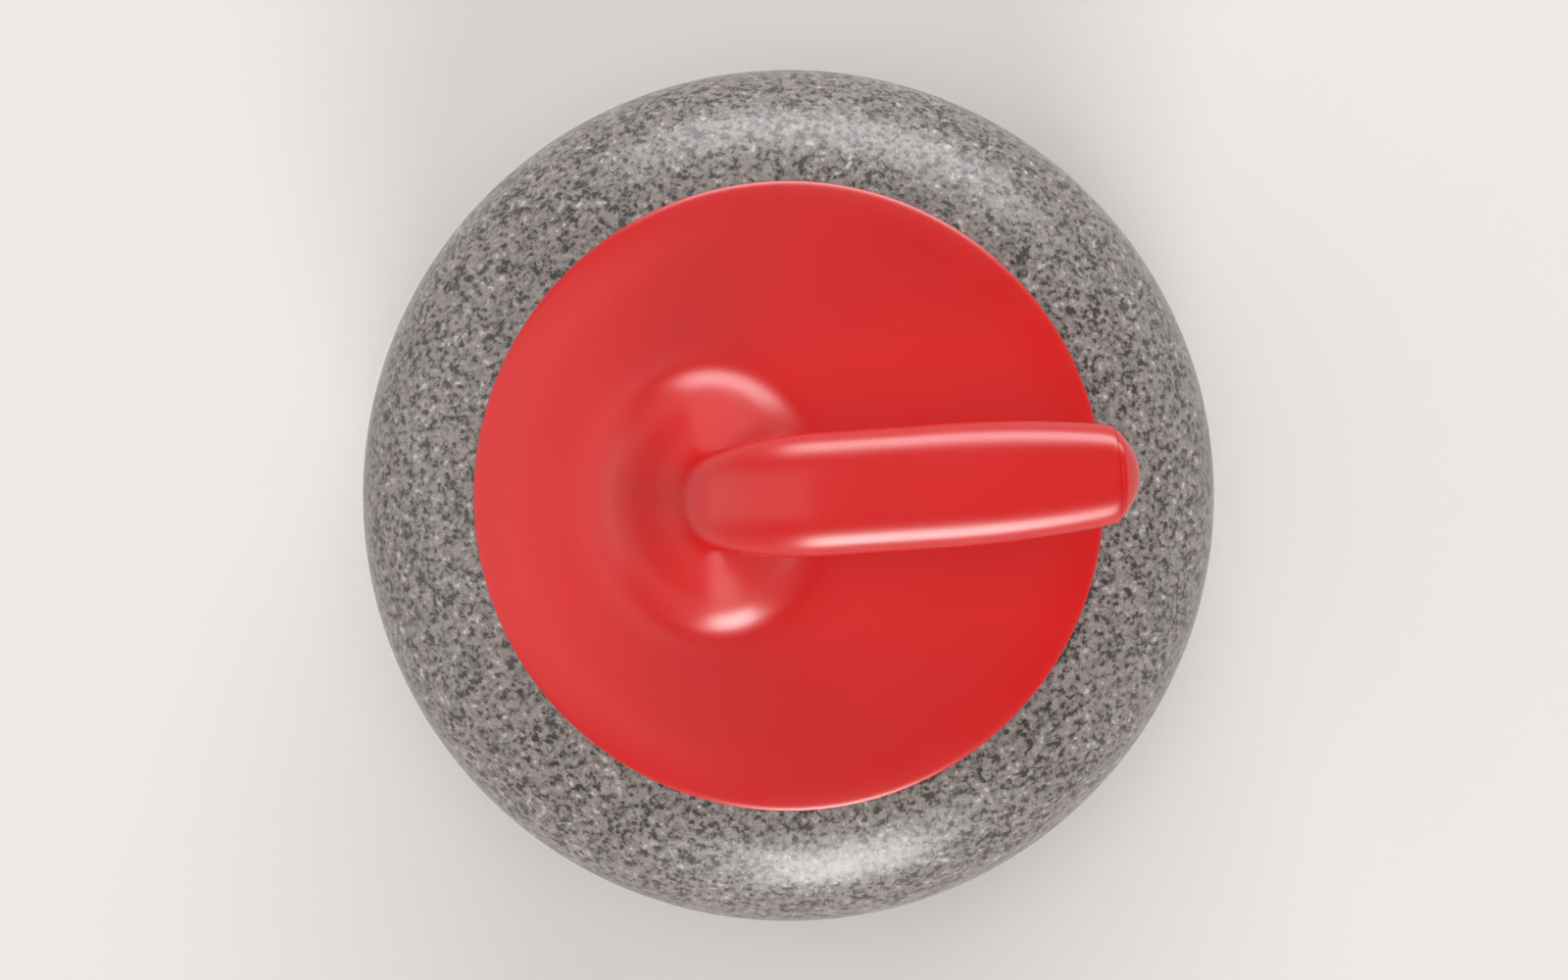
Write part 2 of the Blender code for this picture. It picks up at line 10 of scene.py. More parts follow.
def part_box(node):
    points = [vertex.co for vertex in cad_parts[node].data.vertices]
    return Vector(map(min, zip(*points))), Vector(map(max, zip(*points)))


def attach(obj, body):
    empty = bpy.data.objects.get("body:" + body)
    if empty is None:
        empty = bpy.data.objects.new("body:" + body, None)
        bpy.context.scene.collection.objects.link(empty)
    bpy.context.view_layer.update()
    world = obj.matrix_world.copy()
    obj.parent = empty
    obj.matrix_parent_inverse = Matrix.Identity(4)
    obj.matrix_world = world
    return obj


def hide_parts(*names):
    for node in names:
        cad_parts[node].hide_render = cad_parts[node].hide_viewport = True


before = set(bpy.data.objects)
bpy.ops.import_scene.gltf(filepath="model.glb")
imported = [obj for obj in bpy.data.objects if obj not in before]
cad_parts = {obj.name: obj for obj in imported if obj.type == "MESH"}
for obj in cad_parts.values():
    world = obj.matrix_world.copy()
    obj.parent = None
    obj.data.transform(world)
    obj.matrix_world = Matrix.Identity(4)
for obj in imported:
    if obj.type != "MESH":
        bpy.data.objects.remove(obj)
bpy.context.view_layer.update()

MM = 0.001
TAU = 2.0 * math.pi

# ------------------------------------------------------------------ sizes shared with the CAD, mm
STONE_RADIUS = 145.0
STONE_HEIGHT = 115.0
STONE_POWER = 2.5
BAND_INNER = 60.0
BAND_OUTER = 67.0
CUP_DEPTH = 9.0
RECESS_RADIUS = 77.0
RECESS_DEPTH = 18.3
INSERT_RADIUS = 75.7
INSERT_DEPTH = 18.0
BORE_RADIUS = 18.0
BORE_DEPTH = 24.0
HOLE_RADIUS = 8.0
GAP = 0.3

DISC_RADIUS = 100.2
DISC_CREST = 121.6
CREASE_RADIUS = 82.0
CREASE_DROP = 2.0
SHOULDER = 97.0
SHOULDER_BEND = 0.0068
SKIRT_BOTTOM = 113.4
WALL = 3.0
NECK_X = -23.0
NECK_Z = 155.5
NECK_THICK = 9.5
NECK_WIDE = 14.5
LEAN_SIN = math.sin(math.radians(28.0))
LEAN_COS = math.cos(math.radians(28.0))
FLARE_REACH = 39.0
FLARE_SLOPE = 1.3
FLARE_START = 11.0
FLARE_END = 36.0
ROOT_SLOPE = 1.8
ROOT_LENGTH = 1.6
GRIP_Z = 169.0
GRIP_THICK = 11.5
GRIP_THINNING = 1.2
GRIP_WIDE = 18.4
GRIP_POWER = 2.3
GRIP_TAPER = 0.0015
TAPER_START = 45.0
NOSE_FLAT = 0.25
SHELL_END = 96.2
GRIP_TIP = 103.2
BEND_X = 8.0
BEND_HANDLES = (9.0, 13.0)

BOLT_FLATS = 8.5
BOLT_HEAD_BOTTOM = 9.5
BOLT_HEAD_TOP = 15.9
BOLT_TIP = 112.0
LOCK_WASHER = (5.3, 9.0, 1.9)
FLAT_WASHER = (5.3, 12.5)
CUSHION_WASHER = (5.4, 16.5)
GASKET = (57.5, 68.5)
HUB_BORE = 5.2
HUB_RADIUS = 8.0
HUB_FLANGE = 10.4
HUB_BOTTOM = 95.0
HUB_STEP = 115.4
HUB_TOP = 117.8

# ------------------------------------------------------- details that only the looks have, mm
STRIKING_BAND_HALF = 13.0  # half the height of the pecked band round the stone's middle
STRIKING_BAND_EDGE = 144.5  # radius where its rounded edges start
STRIKING_BAND_ROUND = 1.4  # height of those rounded edges
SHELL_ROUND_START = 92.5  # where the grip's sides turn in towards the nose
THREAD_RADIUS = 4.95
THREAD_ROOT = 3.9
THREAD_PITCH = 1.5
THREAD_DEPTH = 0.92
THREAD_START = 62.0
THREAD_STEP = 0.25
AROUND = 160  # points round the handle's sections


# --------------------------------------------------------------------------------- mesh helpers
def make_mesh(name, points, faces, sharp=35.0):
    """A smooth-shaded mesh from points in mm, with edges sharper than the given angle kept."""
    mesh = bpy.data.meshes.new(name)
    mesh.from_pydata((np.asarray(points, float) * MM).tolist(), [], faces)
    mesh.validate()
    obj = bpy.data.objects.new(name, mesh)
    bpy.context.scene.collection.objects.link(obj)
    mesh.shade_smooth()
    mesh.set_sharp_from_angle(angle=math.radians(sharp))
    return obj


def loft_faces(rows, count, close_rows):
    """Four-sided faces between neighbouring rings of points."""
    faces = []
    for row in range(rows if close_rows else rows - 1):
        a = row * count
        b = ((row + 1) % rows) * count
        for k in range(count):
            t = (k + 1) % count
            faces.append((a + k, a + t, b + t, b + k))
    return faces


def lathe(name, profile, segments=256):
    """A closed loop of (r, z), listed anticlockwise with r to the right, turned round Z."""
    profile = np.asarray(profile, float)
    angles = np.arange(segments) * TAU / segments
    grid = np.empty((len(profile), segments, 3))
    grid[:, :, 0] = profile[:, :1] * np.cos(angles)
    grid[:, :, 1] = profile[:, :1] * np.sin(angles)
    grid[:, :, 2] = profile[:, 1:]
    faces = loft_faces(len(profile), segments, True)
    return make_mesh(name, grid.reshape(-1, 3), [f[::-1] for f in faces])


def rounded(corners, radius, steps=5):
    """A closed outline with each corner turned into a small arc-like curve."""
    corners = [np.asarray(c, float) for c in corners]
    made = []
    for k, corner in enumerate(corners):
        before = corners[k - 1] - corner
        after = corners[(k + 1) % len(corners)] - corner
        reach = min(radius, 0.45 * np.linalg.norm(before), 0.45 * np.linalg.norm(after))
        start = corner + before / max(np.linalg.norm(before), 1e-9) * reach
        end = corner + after / max(np.linalg.norm(after), 1e-9) * reach
        for t in np.linspace(0.0, 1.0, steps):
            made.append((1 - t) ** 2 * start + 2 * t * (1 - t) * corner + t**2 * end)
    return np.array(made)


# ------------------------------------------------------------------------------- granite shapes
def stone_curve(r):
    """Height of the stone's lower surface at radius r."""
    u = min(1.0, (r - BAND_OUTER) / (STONE_RADIUS - BAND_OUTER))
    half = STONE_HEIGHT / 2
    return half - half * (1.0 - u**STONE_POWER) ** (1.0 / STONE_POWER)


def stone_profile():
    """The stone's outline: recess and bore below, outer curve with its band, and the same above."""
    half = STONE_HEIGHT / 2
    span = STONE_RADIUS - BAND_OUTER
    band_low = half - STRIKING_BAND_HALF
    band_flat = STRIKING_BAND_HALF - STRIKING_BAND_ROUND
    bulge = STONE_RADIUS - STRIKING_BAND_EDGE
    low = [(RECESS_RADIUS + 0.25, stone_curve(RECESS_RADIUS) + 0.03)]
    for degrees in np.linspace(12.0, 84.0, 100):
        a = math.radians(degrees)
        r = BAND_OUTER + span * math.sin(a) ** (2.0 / STONE_POWER)
        z = half - half * math.cos(a) ** (2.0 / STONE_POWER)
        if r > RECESS_RADIUS + 1.0 and z < band_low - 0.4:
            low.append((r, z))
    for t in np.linspace(0.0, 1.0, 10):
        low.append((STRIKING_BAND_EDGE - 0.6 * (1.0 - t) ** 2, band_low + STRIKING_BAND_ROUND * t))
    for t in np.linspace(0.1, 1.0, 10):
        low.append((STRIKING_BAND_EDGE + bulge * (1.0 - (1.0 - t) ** 2), half - band_flat * (1.0 - t)))
    high = [(r, STONE_HEIGHT - z) for r, z in reversed(low[:-1])]
    top = STONE_HEIGHT
    edge = stone_curve(RECESS_RADIUS) + 0.28
    return [
        (HOLE_RADIUS + 0.6, BORE_DEPTH),
        (BORE_RADIUS, BORE_DEPTH),
        (BORE_RADIUS, RECESS_DEPTH),
        (RECESS_RADIUS, RECESS_DEPTH),
        (RECESS_RADIUS, edge),
        *low,
        *high,
        (RECESS_RADIUS, top - edge),
        (RECESS_RADIUS, top - RECESS_DEPTH),
        (BORE_RADIUS, top - RECESS_DEPTH),
        (BORE_RADIUS, top - BORE_DEPTH),
        (HOLE_RADIUS + 0.6, top - BORE_DEPTH),
        (HOLE_RADIUS, top - BORE_DEPTH - 0.6),
        (HOLE_RADIUS, BORE_DEPTH + 0.6),
    ]


def insert_profile():
    """The lower insert: cup, running band, a strip of the outer curve, and a straight wall."""
    bore = BORE_RADIUS + GAP
    cup = [(bore, CUP_DEPTH * (1.0 - (bore / BAND_INNER) ** 2) + 0.7)]
    for r in np.linspace(bore + 0.7, BAND_INNER - 0.9, 60):
        cup.append((r, CUP_DEPTH * (1.0 - (r / BAND_INNER) ** 2)))
    lip = [(BAND_INNER - 0.35, 0.07), (BAND_INNER + 0.15, 0.0), (BAND_OUTER - 0.3, 0.0)]
    outer = [(r, stone_curve(r)) for r in np.linspace(BAND_OUTER + 0.8, INSERT_RADIUS - 0.25, 14)]
    edge = stone_curve(INSERT_RADIUS) + 0.2
    return [*cup, *lip, *outer, (INSERT_RADIUS, edge), (INSERT_RADIUS, INSERT_DEPTH), (bore, INSERT_DEPTH)]


def bond_profile():
    inner = INSERT_RADIUS + GAP
    outer = RECESS_RADIUS - GAP
    low = stone_curve(outer) + 0.1
    return [(inner, low), (outer, low), (outer, INSERT_DEPTH), (inner, INSERT_DEPTH)]


def upside_down(profile):
    return [(r, STONE_HEIGHT - z) for r, z in reversed(profile)]


# -------------------------------------------------------------------------------- handle shapes
def disc_top(r):
    """Height of the disc's upper surface: a shallow dome, then a steeper shoulder."""
    slope = 2.0 * CREASE_DROP / CREASE_RADIUS
    inner = DISC_CREST - CREASE_DROP * (r / CREASE_RADIUS) ** 2
    past = np.maximum(r - CREASE_RADIUS, 0.0)
    outer = DISC_CREST - CREASE_DROP - slope * past - SHOULDER_BEND * past**2
    return np.where(r <= CREASE_RADIUS, inner, outer)


FINE = np.linspace(0.0, FLARE_REACH, 1200)
EASE = np.clip((FINE - FLARE_START) / (FLARE_END - FLARE_START), 0.0, 1.0)
FINE_SLOPE = FLARE_SLOPE * (1.0 - EASE * EASE * (3.0 - 2.0 * EASE))
FINE_RISE = np.concatenate([[0.0], np.cumsum((FINE_SLOPE[1:] + FINE_SLOPE[:-1]) / 2 * np.diff(FINE))])
ANGLES = np.arange(AROUND) * TAU / AROUND
OUTWARD = np.stack([-np.sin(ANGLES), np.cos(ANGLES)], axis=1)


def flare_height(offset):
    """Height above the disc at each angle round the neck; steepest at its sides."""
    main = FINE_RISE[-1] - np.interp(offset, FINE, FINE_RISE)
    fall = math.exp(-offset / ROOT_LENGTH) - math.exp(-FLARE_REACH / ROOT_LENGTH)
    return main + ROOT_SLOPE * ROOT_LENGTH * fall * (0.25 + 0.75 * np.cos(ANGLES) ** 2)


def superellipse(half_n, half_y, power):
    """Offsets across the grip (n) and to its side (y) at each of ANGLES."""
    c, s = np.cos(ANGLES), np.sin(ANGLES)
    size = (np.abs(c) ** power + np.abs(s) ** power) ** (-1.0 / power)
    return half_n * s * size, half_y * c * size


def smooth_step(t):
    t = min(1.0, max(0.0, t))
    return t * t * (3.0 - 2.0 * t)


def grip_section(x):
    """Half thickness, half width and power of the grip's section at x."""
    wide = GRIP_WIDE - GRIP_TAPER * max(0.0, x - TAPER_START) ** 2
    round_share = max(0.0, (x - SHELL_ROUND_START) / (SHELL_END - SHELL_ROUND_START))
    wide -= 0.5 * round_share**2
    thick = GRIP_THICK - GRIP_THINNING * smooth_step((x - 50.0) / 50.0)
    return thick, wide, GRIP_POWER


def bend_frame(t):
    """Centre, forward normal and section on the gooseneck; t = 0 at the neck, 1 at the grip."""
    p0 = np.array([NECK_X, 0.0, NECK_Z])
    p3 = np.array([BEND_X, 0.0, GRIP_Z])
    p1 = p0 + np.array([LEAN_SIN, 0.0, LEAN_COS]) * BEND_HANDLES[0]
    p2 = p3 - np.array([BEND_HANDLES[1], 0.0, 0.0])
    s = 1.0 - t
    centre = s**3 * p0 + 3 * s * s * t * p1 + 3 * s * t * t * p2 + t**3 * p3
    along = s * s * (p1 - p0) + 2 * s * t * (p2 - p1) + t * t * (p3 - p2)
    along /= np.linalg.norm(along)
    u = (centre[0] - NECK_X) / (BEND_X - NECK_X)
    thick = NECK_THICK + (GRIP_THICK - NECK_THICK) * u
    wide = NECK_WIDE + (GRIP_WIDE - NECK_WIDE) * (1.0 - (1.0 - u) ** 2)
    return centre, np.array([-along[2], 0.0, along[0]]), (thick, wide, 2.0 + (GRIP_POWER - 2.0) * u)


def section_ring(centre, normal, section):
    n, y = superellipse(*section)
    return centre + n[:, None] * normal + y[:, None] * np.array([0.0, 1.0, 0.0])


def flare_ring(offset):
    n, y = superellipse(NECK_THICK, NECK_WIDE, 2.0)
    xy = np.stack([NECK_X - n * LEAN_COS, y], axis=1) + OUTWARD * offset
    rise = (NECK_Z + n * LEAN_SIN - DISC_CREST) * flare_height(offset) / flare_height(0.0)
    return np.column_stack([xy, disc_top(np.hypot(xy[:, 0], xy[:, 1])) + rise])


def circle_ring(r, z):
    return np.column_stack([OUTWARD * r, np.full(AROUND, z)])


def outer_surface():
    """Rings from the grip's end, round the gooseneck and down the flare to the disc's shoulder."""
    up = np.array([0.0, 0.0, 1.0])
    rings = []
    for cut, x in ((0.08, SHELL_END), (0.03, SHELL_END - 0.04), (0.0, SHELL_END - 0.15)):
        thick, wide, power = grip_section(x)
        rings.append(section_ring(np.array([x, 0.0, GRIP_Z]), up, (thick - cut, wide - cut, power)))
    for x in np.linspace(SHELL_END - 1.5, BEND_X + 1.0, 60):
        rings.append(section_ring(np.array([x, 0.0, GRIP_Z]), up, grip_section(x)))
    first_soft = len(rings) - 12
    for t in np.linspace(1.0, 0.02, 44):
        rings.append(section_ring(*bend_frame(t)))
    for offset in FLARE_REACH * np.linspace(0.0, 1.0, 64) ** 1.5:
        rings.append(flare_ring(offset))
    foot = flare_ring(FLARE_REACH)
    last_soft = len(rings)
    for t in np.linspace(0.0, 1.0, 44)[1:]:
        xy = foot[:, :2] * (1.0 - t) + OUTWARD * SHOULDER * t
        rings.append(np.column_stack([xy, disc_top(np.hypot(xy[:, 0], xy[:, 1]))]))
    grid = np.array(rings)
    for _ in range(30):
        middle = grid[first_soft:last_soft]
        eased = 0.25 * grid[first_soft - 1 : last_soft - 1] + 0.5 * middle
        grid[first_soft:last_soft] = eased + 0.25 * grid[first_soft + 1 : last_soft + 1]
    return grid


def shell_surface():
    """The outer surface, the disc's turned-down edge, and the inner surface back to the grip."""
    outer = outer_surface()
    around = np.roll(outer, -1, axis=1) - np.roll(outer, 1, axis=1)
    normals = np.cross(np.gradient(outer, axis=0), around)
    normals /= np.linalg.norm(normals, axis=2, keepdims=True)
    inner = (outer - normals * WALL)[2::3]
    inner[0, :, 0] = SHELL_END
    inner[-1] = circle_ring(DISC_RADIUS - WALL, float(disc_top(SHOULDER)) - WALL - 0.6)
    skirt = []
    reach = DISC_RADIUS - SHOULDER
    for u in np.linspace(0.0, 1.0, 22)[1:]:
        fall = reach * (0.26 * u + 0.10 * u**4)
        skirt.append(circle_ring(SHOULDER + reach * u, float(disc_top(SHOULDER)) - fall))
    skirt.append(circle_ring(DISC_RADIUS + 0.12, skirt[-1][0, 2] - 0.25))
    skirt.append(circle_ring(DISC_RADIUS + 0.12, SKIRT_BOTTOM + 0.3))
    skirt.append(circle_ring(DISC_RADIUS - 0.3, SKIRT_BOTTOM))
    skirt.append(circle_ring(DISC_RADIUS - WALL + 0.4, SKIRT_BOTTOM))
    return np.concatenate([outer, np.array(skirt), inner[::-1]])


def build_shell():
    grid = shell_surface()
    faces = loft_faces(len(grid), AROUND, True)
    return make_mesh("handle_moulding", grid.reshape(-1, 3), faces, 50.0)


def softened(value, width=0.04):
    """max(0, value) with its corner rounded off over the given width."""
    return 0.5 * (value + math.hypot(value, width))


def build_end_plug():
    """The grip's nose, with a spigot that reaches into the shell."""
    up = np.array([0.0, 0.0, 1.0])
    start = SHELL_END + 0.06
    thick, wide, power = grip_section(SHELL_END)
    rings = []
    for x, cut in ((84.0, 4.6), (85.0, 3.3), (start, 3.3), (start, 0.08)):
        rings.append(section_ring(np.array([x, 0.0, GRIP_Z]), up, (thick - cut, wide - cut, power)))
    for share in 1.0 - np.linspace(1.0, 0.02, 60) ** 2:
        x = start + (GRIP_TIP - start) * share
        lower = math.sqrt(1.0 - softened(share - NOSE_FLAT) / softened(1.0 - NOSE_FLAT))
        section = (thick * lower, wide * math.sqrt(1.0 - share), power)
        rings.append(section_ring(np.array([x, 0.0, GRIP_Z]), up, section))
    grid = np.array(rings)
    faces = [f[::-1] for f in loft_faces(len(grid), AROUND, False)]
    last = (len(grid) - 1) * AROUND
    faces.append(tuple(range(AROUND)))
    faces.append(tuple(range(last + AROUND - 1, last - 1, -1)))
    return make_mesh("grip_nose", grid.reshape(-1, 3), faces, 50.0)


# --------------------------------------------------------------------------------- small pieces
def build_bolt():
    """Hexagon head with turned-down corners, plain neck and a real helical thread."""
    count = 72
    angles = np.arange(count) * TAU / count

    def ring(r, z):
        return np.column_stack([r * np.cos(angles), r * np.sin(angles), np.full(count, z)])

    hexagon = BOLT_FLATS / np.cos((angles + math.pi / 6) % (math.pi / 3) - math.pi / 6)
    head = (
        (BOLT_HEAD_BOTTOM, 0.0),
        (BOLT_HEAD_BOTTOM, 8.0),
        (9.75, 8.9),
        (10.3, 9.9),
        (15.3, 9.9),
        (15.7, 9.0),
        (BOLT_HEAD_TOP, 8.2),
    )
    rings = [ring(np.minimum(hexagon, most), z) for z, most in head]
    rings.append(ring(THREAD_RADIUS, BOLT_HEAD_TOP))
    for z in np.arange(17.0, THREAD_START, 5.0):
        rings.append(ring(THREAD_RADIUS, z))
    for z in np.arange(THREAD_START, BOLT_TIP, THREAD_STEP):
        phase = (z / THREAD_PITCH - angles / TAU) % 1.0
        depth = np.clip(1.25 * np.abs(phase - 0.5) * 2.0 - 0.12, 0.0, 1.0) * THREAD_DEPTH
        fade = min(1.0, (z - THREAD_START) / THREAD_PITCH)
        rings.append(ring(np.minimum(THREAD_RADIUS - depth * fade, THREAD_ROOT + max(0.0, BOLT_TIP - z)), z))
    rings.append(ring(0.0, BOLT_TIP))
    grid = np.array(rings)
    faces = [f[::-1] for f in loft_faces(len(grid), count, False)]
    return make_mesh("through_bolt_m10", grid.reshape(-1, 3), faces, 40.0)


def build_lock_washer():
    """A split ring that climbs a little in one turn."""
    inner, outer, thick = LOCK_WASHER
    level = BOLT_HEAD_TOP + GAP
    climb = 0.3
    outline = rounded([(inner, 0.0), (outer, 0.0), (outer, thick), (inner, thick)], 0.2, 3)
    rings = []
    for a in np.radians(np.linspace(4.5, 355.5, 120)):
        low = level + climb * a / TAU
        r = outline[:, 0]
        rings.append(np.column_stack([r * math.cos(a), r * math.sin(a), low + outline[:, 1]]))
    grid = np.array(rings)
    count = len(outline)
    faces = loft_faces(len(grid), count, False)
    faces.append(tuple(range(count))[::-1])
    faces.append(tuple(range((len(grid) - 1) * count, len(grid) * count)))
    return make_mesh("spring_lock_ring", grid.reshape(-1, 3), faces)


def ring_piece(name, node, size, radius=0.25, segments=128):
    """A ring with rounded corners, as high as the CAD node that it replaces."""
    inner, outer = size
    low, high = (corner.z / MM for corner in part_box(node))
    corners = [(inner, low), (outer, low), (outer, high), (inner, high)]
    return lathe(name, rounded(corners, radius), segments)


def build_hub():
    corners = [
        (HUB_BORE, HUB_BOTTOM),
        (HUB_RADIUS, HUB_BOTTOM),
        (HUB_RADIUS, HUB_STEP),
        (HUB_FLANGE, HUB_STEP),
        (HUB_FLANGE, HUB_TOP),
        (HUB_BORE, HUB_TOP),
    ]
    return lathe("brass_hub", rounded(corners, 0.5), 96)


# ------------------------------------------------------------------------------ material helpers
class Tree:
    """Short names for making one material's nodes."""

    def __init__(self, name, colour=(0.5, 0.5, 0.5), roughness=0.5, metallic=0.0, ior=1.5):
        self.material = bpy.data.materials.new(name)
        self.material.use_nodes = True
        self.nodes = self.material.node_tree.nodes
        self.links = self.material.node_tree.links
        self.shader = self.nodes["Principled BSDF"]
        self.shader.inputs["Base Color"].default_value = (*colour, 1.0)
        self.shader.inputs["Roughness"].default_value = roughness
        self.shader.inputs["Metallic"].default_value = metallic
        self.shader.inputs["IOR"].default_value = ior
        self.place = self.nodes.new("ShaderNodeTexCoord").outputs["Object"]

    def link(self, source, target):
        self.links.new(source, target)

    def put(self, source, name):
        self.links.new(source, self.shader.inputs[name])

    def stretch(self, scale, turn=(0.0, 0.0, 0.0)):
        node = self.nodes.new("ShaderNodeMapping")
        node.inputs["Scale"].default_value = scale
        node.inputs["Rotation"].default_value = turn
        self.link(self.place, node.inputs["Vector"])
        return node.outputs["Vector"]

    def noise(self, scale, detail=2.0, rough=0.5, where=None):
        node = self.nodes.new("ShaderNodeTexNoise")
        self.link(where or self.place, node.inputs["Vector"])
        node.inputs["Scale"].default_value = scale
        node.inputs["Detail"].default_value = detail
        node.inputs["Roughness"].default_value = rough
        return node.outputs["Fac"]

    def cell_tones(self, scale, where):
        """One random number for each cell of a Voronoi pattern."""
        node = self.nodes.new("ShaderNodeTexVoronoi")
        self.link(where, node.inputs["Vector"])
        node.inputs["Scale"].default_value = scale
        return self.split(node.outputs["Color"])[0]

    def wobble(self, amount, scale):
        """The place, pushed about by noise, so that cells get ragged edges."""
        node = self.nodes.new("ShaderNodeTexNoise")
        self.link(self.place, node.inputs["Vector"])
        node.inputs["Scale"].default_value = scale
        node.inputs["Detail"].default_value = 2.0
        shift = self.nodes.new("ShaderNodeVectorMath")
        shift.operation = "MULTIPLY_ADD"
        self.link(node.outputs["Color"], shift.inputs[0])
        shift.inputs[1].default_value = (amount, amount, amount)
        self.link(self.place, shift.inputs[2])
        return shift.outputs["Vector"]

    def ramp(self, value, stops):
        node = self.nodes.new("ShaderNodeValToRGB")
        elements = node.color_ramp.elements
        while len(elements) < len(stops):
            elements.new(0.5)
        for element, (at, colour) in zip(elements, stops):
            element.position = at
            rgb = colour if isinstance(colour, tuple) else (colour, colour, colour)
            element.color = (*rgb, 1.0)
        self.link(value, node.inputs["Fac"])
        return node.outputs["Color"]

    def mix(self, amount, a, b, how="MIX"):
        node = self.nodes.new("ShaderNodeMix")
        node.data_type = "RGBA"
        node.blend_type = how
        self.feed(node.inputs[0], amount)
        self.feed(node.inputs[6], a)
        self.feed(node.inputs[7], b)
        return node.outputs[2]

    def feed(self, socket, value):
        """Sets a socket to a number or a colour, or links it to another node's output."""
        if isinstance(value, (int, float)) and hasattr(socket.default_value, "__len__"):
            socket.default_value = (value, value, value, 1.0)
        elif isinstance(value, (int, float)):
            socket.default_value = value
        elif isinstance(value, tuple):
            socket.default_value = (*value, 1.0)
        else:
            self.link(value, socket)

    def maths(self, how, a, b=0.0, c=0.0):
        node = self.nodes.new("ShaderNodeMath")
        node.operation = how
        for socket, value in zip(node.inputs, (a, b, c)):
            self.feed(socket, value)
        return node.outputs[0]

    def span(self, value, low, high, to_low, to_high):
        """The value, with low to high stretched onto to_low to to_high."""
        node = self.nodes.new("ShaderNodeMapRange")
        self.feed(node.inputs["Value"], value)
        node.inputs["From Min"].default_value = low
        node.inputs["From Max"].default_value = high
        node.inputs["To Min"].default_value = to_low
        node.inputs["To Max"].default_value = to_high
        return node.outputs["Result"]

    def split(self, vector):
        node = self.nodes.new("ShaderNodeSeparateXYZ")
        self.link(vector, node.inputs[0])
        return node.outputs

    def bump(self, height, distance, strength, under=None):
        node = self.nodes.new("ShaderNodeBump")
        self.link(height, node.inputs["Height"])
        node.inputs["Distance"].default_value = distance
        node.inputs["Strength"].default_value = strength
        if under is not None:
            self.link(under, node.inputs["Normal"])
        self.link(node.outputs["Normal"], self.shader.inputs["Normal"])
        return node.outputs["Normal"]


# ------------------------------------------------------------------------------------ materials
def granite_material(name, tint, darkest, lightest, band=True):
    """Speckled granite with a polished skin; the stone's has a pecked, matte striking band too."""
    t = Tree(name, roughness=0.3)
    ragged = t.wobble(0.0012, 1500.0)
    tone = t.cell_tones(690.0, ragged)
    grain = t.span(t.noise(350.0, 4.0, 0.72), 0.39, 0.61, 0.0, 0.5)
    cluster = t.span(t.noise(130.0, 3.0, 0.6), 0.3, 0.7, -0.09, 0.09)
    pick = t.maths("MULTIPLY_ADD", tone, 0.5, t.maths("ADD", grain, cluster))
    dim = tuple(x * 0.66 for x in tint)
    pale = tuple(x * 1.4 for x in tint)
    stops = (
        (0.0, darkest),
        (0.25, darkest),
        (0.34, dim),
        (0.43, tint),
        (0.54, tint),
        (0.62, pale),
        (0.84, pale),
        (0.96, lightest),
    )
    body = t.ramp(pick, stops)
    warmth = t.span(t.noise(160.0), 0.35, 0.65, 0.0, 0.6)
    warm = t.mix(warmth, body, (1.06, 0.99, 0.94), "MULTIPLY")
    dust = t.ramp(t.noise(2600.0, 2.0, 0.7), ((0.25, 0.78), (0.75, 1.24)))
    body = t.mix(0.5, warm, dust, "MULTIPLY")
    rough = t.span(tone, 0.0, 1.0, 0.285, 0.34)
    if band:
        z = t.split(t.place)[2]
        away = t.maths("ABSOLUTE", t.maths("SUBTRACT", z, STONE_HEIGHT / 2 * MM))
        edge = t.maths("ADD", away, t.span(t.noise(220.0, 3.0), 0.3, 0.7, -0.0004, 0.0004))
        fade = (STRIKING_BAND_HALF - 0.8) * MM
        matte = t.span(edge, fade, STRIKING_BAND_HALF * MM, 1.0, 0.0)
        pecked = t.mix(t.noise(700.0, 3.0, 0.7), (1.12, 1.12, 1.13), (1.55, 1.55, 1.56))
        body = t.mix(matte, body, t.mix(1.0, body, pecked, "MULTIPLY"))
        rough = t.maths("MULTIPLY_ADD", matte, 0.42, rough)
        pits = t.maths("MULTIPLY", matte, t.maths("SUBTRACT", t.noise(1500.0, 3.0, 0.7), 0.5))
        first = t.bump(pits, 0.0004, 0.7)
        t.bump(grain, 0.00002, 0.4, first)
    else:
        t.bump(grain, 0.00002, 0.4)
    t.put(body, "Base Color")
    t.put(rough, "Roughness")
    return t.material


def red_plastic_material():
    """Gloss plastic with a faint cloudiness and light scuffs."""
    t = Tree("red_gloss_plastic", (0.40, 0.003, 0.003), 0.3, 0.0, 1.58)
    cloud = t.noise(22.0, 3.0, 0.5)
    share = t.span(cloud, 0.3, 0.7, 0.0, 1.0)
    colour = t.mix(share, (0.395, 0.0028, 0.0027), (0.415, 0.0038, 0.0034))
    t.put(colour, "Base Color")
    scuff = t.noise(38.0, 3.0, 0.55, t.stretch((1.0, 2.0, 1.0), (0.0, 0.0, 0.5)))
    t.put(t.span(scuff, 0.3, 0.75, 0.285, 0.325), "Roughness")
    t.bump(t.noise(260.0, 2.0, 0.5), 0.00001, 0.6)
    return t.material


